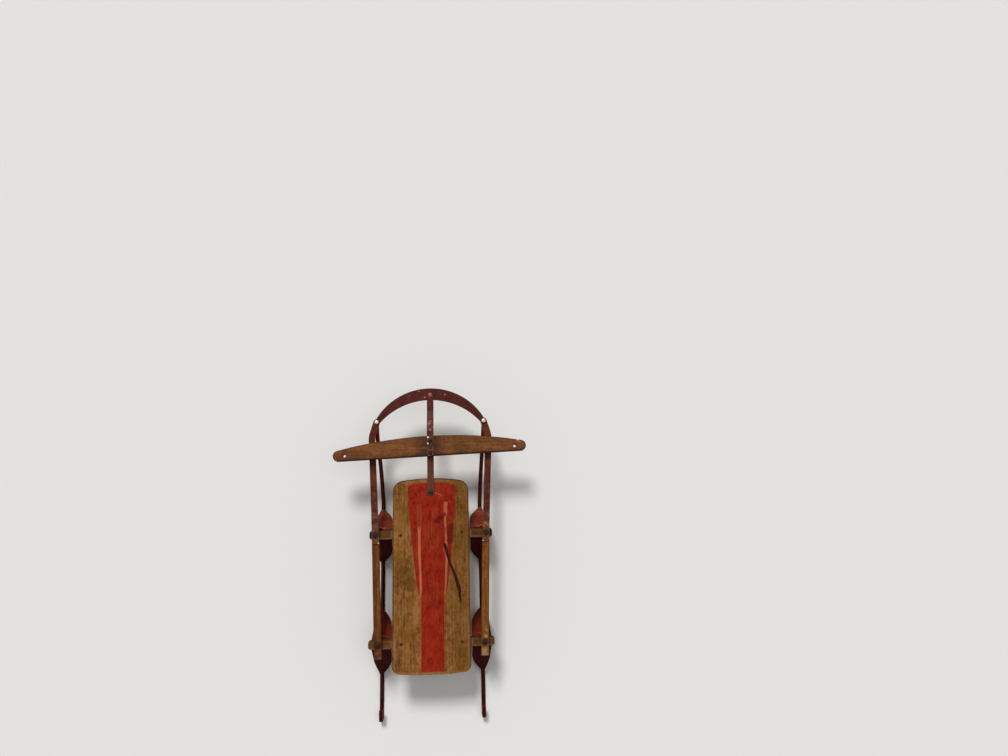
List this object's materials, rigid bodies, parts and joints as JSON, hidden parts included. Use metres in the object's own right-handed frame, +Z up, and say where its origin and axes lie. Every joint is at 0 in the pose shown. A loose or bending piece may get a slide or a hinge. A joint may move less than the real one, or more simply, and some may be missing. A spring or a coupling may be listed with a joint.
{
  "type": "wooden steering sled",
  "caption": "Child's wooden steering sled: deck board on crosspieces, pressed steel knees, T-section steel runners, a crescent bow and a wooden steering bar.",
  "frame": {"origin": "on the floor, midway along and across the sled, under its runners", "axes": "+X to the sled's right, +Y towards the bow, +Z up"},
  "size_m": [0.5475, 0.92, 0.1493],
  "materials": {
    "deck_wood": "worn varnish",
    "crosspiece_wood": "worn varnish",
    "rail_wood": "worn varnish",
    "bar_wood": "dark varnish",
    "runner_steel": "worn gloss",
    "strap_steel": "worn gloss",
    "knee_steel": "worn gloss",
    "bolt_steel": "rusted",
    "bright_rivet": "bright"
  },
  "bodies": {
    "frame": {"deck": "deck_wood", "crosspiece_front": "crosspiece_wood", "crosspiece_rear": "crosspiece_wood", "rail_left": "rail_wood", "rail_right": "rail_wood", "runner_left": "runner_steel", "runner_right": "runner_steel", "knee_front_left": "knee_steel", "knee_front_right": "knee_steel", "knee_rear_left": "knee_steel", "knee_rear_right": "knee_steel", "bolt_front_left": "bolt_steel", "bolt_front_right": "bolt_steel", "bolt_rear_left": "bolt_steel", "bolt_rear_right": "bolt_steel", "pivot_bolt": "bolt_steel"},
    "lever": {"steering_bar": "bar_wood", "front_strap": "strap_steel", "rear_strap": "strap_steel", "bar_bolts": "bolt_steel", "bow_rivet": "bright_rivet"},
    "left_link": {"strip_left": "strap_steel", "side_rivet_left": "bright_rivet"},
    "right_link": {"strip_right": "strap_steel", "side_rivet_right": "bright_rivet"},
    "bow": {"bow": "strap_steel"}
  },
  "joints": [
    {"name": "steering", "type": "hinge", "parent": "frame", "child": "lever", "pos_m": [0, 0.159, 0.1178], "axis": [0, 0, 1], "range_deg": [-5, 5], "stiffness_Nm_per_rad": 80},
    {"name": "left_link_turn", "type": "hinge", "parent": "frame", "child": "left_link", "pos_m": [-0.154, 0.044, 0.1208], "axis": [0, 0, 1], "range_deg": [-4.5, 4.5]},
    {"name": "right_link_turn", "type": "hinge", "parent": "frame", "child": "right_link", "pos_m": [0.154, 0.044, 0.1208], "axis": [0, 0, 1], "range_deg": [-4.5, 4.5]},
    {"name": "bow_turn", "type": "hinge", "parent": "left_link", "child": "bow", "pos_m": [-0.154, 0.3625, 0.1175], "axis": [0, 0, 1], "range_deg": [-4.5, 4.5]}
  ],
  "couplings": [
    {"joint": "left_link_turn", "follows": "steering", "ratio": 0.88069},
    {"joint": "right_link_turn", "follows": "steering", "ratio": 0.88069},
    {"joint": "bow_turn", "follows": "steering", "ratio": -0.88069}
  ]
}
